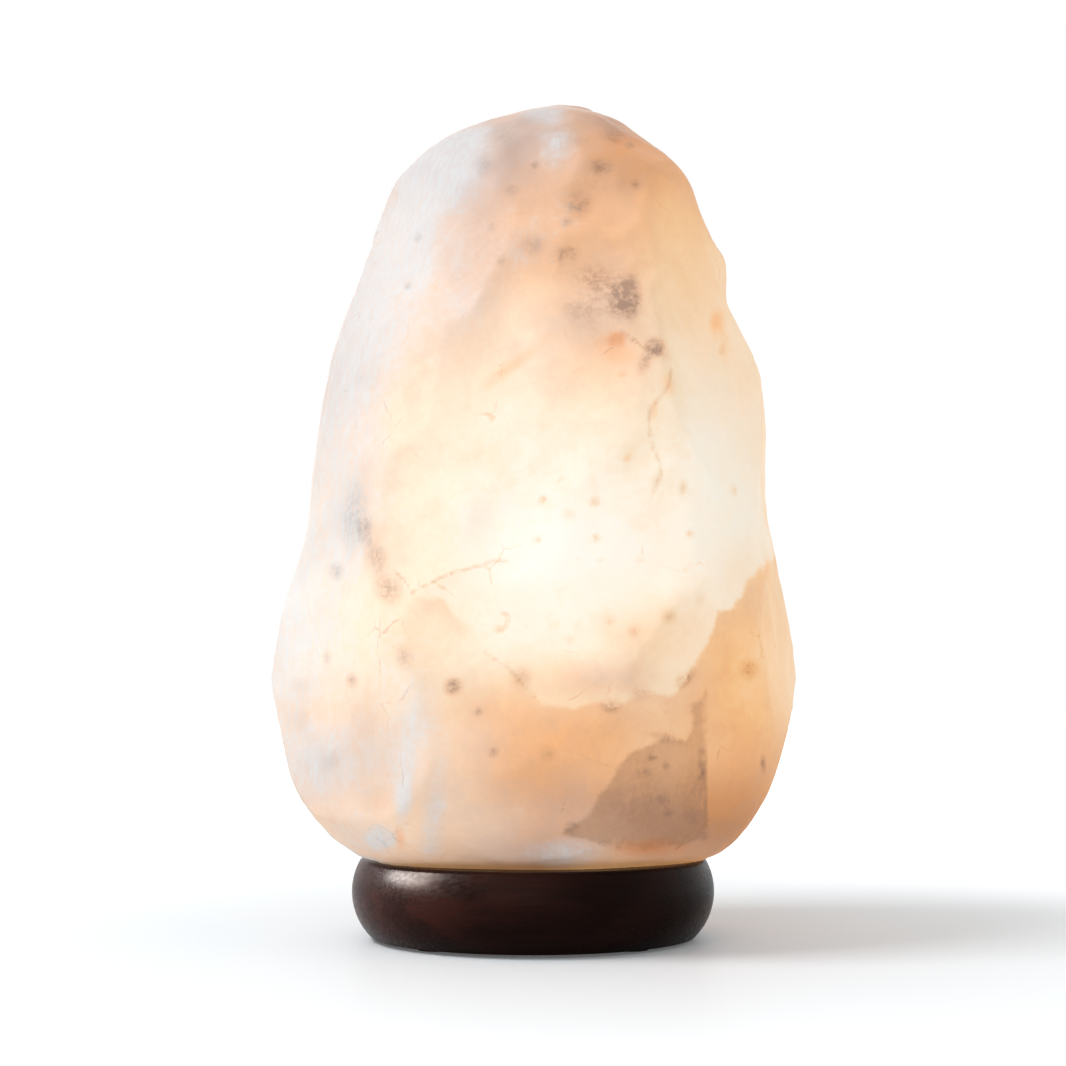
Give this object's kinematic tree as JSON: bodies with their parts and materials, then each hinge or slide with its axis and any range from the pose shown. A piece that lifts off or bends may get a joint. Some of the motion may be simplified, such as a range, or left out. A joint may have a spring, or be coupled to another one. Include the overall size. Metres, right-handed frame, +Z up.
{
  "type": "salt crystal lamp",
  "caption": "Table lamp: hewn rock of pink salt on a turned dark wooden base, with a screw lampholder on a spring clip and a candle bulb inside.",
  "frame": {"origin": "middle of the lamp's outline on the surface that it stands on; the axis of the base, the bore and the bulb is +Z through it", "axes": "+Z up along the bulb's axis, -Y towards the viewer (the front of the rock), +X to the viewer's right, +Y towards the cord groove"},
  "size_m": [0.1544, 0.1336, 0.246],
  "materials": {
    "rock_salt": "rough, milky and translucent, with grey and orange inclusions, lit from inside",
    "dark_wood": "dark stained, satin lacquer",
    "felt": "pressed felt",
    "screw_steel": "zinc plated",
    "nylon": "moulded nylon",
    "black_plastic": "moulded heat-resistant plastic, half gloss",
    "porcelain": "glazed off-white",
    "brass": "stamped",
    "shell_brass": "thin rolled sheet",
    "zinc_steel": "zinc plated",
    "white_plastic": "moulded",
    "spring_steel": "hardened strip with a dull sheen",
    "solder": "cast tin solder",
    "black_glass": "pressed opaque glass",
    "cap_aluminium": "thin rolled sheet",
    "cement": "baked cement",
    "clear_glass": "clear blown",
    "stem_glass": "clear pressed",
    "nickel_wire": "drawn wire",
    "tungsten": "glowing"
  },
  "bodies": {
    "stand": {"salt_crystal": "rock_salt", "wooden_base": "dark_wood", "base_feet": "felt", "rock_screws": "screw_steel", "screw_plugs": "nylon"},
    "holder": {"holder_cap": "black_plastic", "holder_body": "black_plastic", "contact_carrier": "porcelain", "terminals": "brass", "terminal_screws": "screw_steel", "screw_shell": "shell_brass", "centre_contact": "brass", "entry_nipple": "zinc_steel", "nipple_nut": "zinc_steel", "cord_bushing": "white_plastic", "clip_bracket": "spring_steel"},
    "wing_left": {"clip_wing_left": "spring_steel"},
    "wing_right": {"clip_wing_right": "spring_steel"},
    "bulb_tip": {"bulb_contact": "solder"},
    "bulb": {"bulb_insulator": "black_glass", "bulb_cap": "cap_aluminium", "bulb_cement": "cement", "bulb_glass": "clear_glass", "bulb_stem": "stem_glass", "bulb_leads": "nickel_wire", "bulb_filament": "tungsten", "bulb_support": "nickel_wire"}
  },
  "joints": [
    {"name": "holder_pull", "type": "slide", "parent": "stand", "child": "holder", "axis": [0, 0, -1], "range_m": [0, 0.15]},
    {"name": "wing_left_squeeze", "type": "hinge", "parent": "holder", "child": "wing_left", "pos_m": [-0.0176, 0, 0.02], "axis": [0, -1, 0], "range_deg": [0, 20], "stiffness_Nm_per_rad": 0.4, "springref_deg": -14.9},
    {"name": "wing_right_squeeze", "type": "hinge", "parent": "holder", "child": "wing_right", "pos_m": [0.0176, 0, 0.02], "axis": [0, 1, 0], "range_deg": [0, 20], "stiffness_Nm_per_rad": 0.4, "springref_deg": -14.9},
    {"name": "bulb_advance", "type": "slide", "parent": "holder", "child": "bulb_tip", "axis": [0, 0, 1], "range_m": [0, 0.0099]},
    {"name": "bulb_turn", "type": "hinge", "parent": "bulb_tip", "child": "bulb", "pos_m": [0, 0, 0.05], "axis": [0, 0, 1], "range_deg": [0, 1260]}
  ],
  "couplings": [
    {"joint": "bulb_advance", "follows": "bulb_turn", "m_per_rad": 0.00044882}
  ]
}
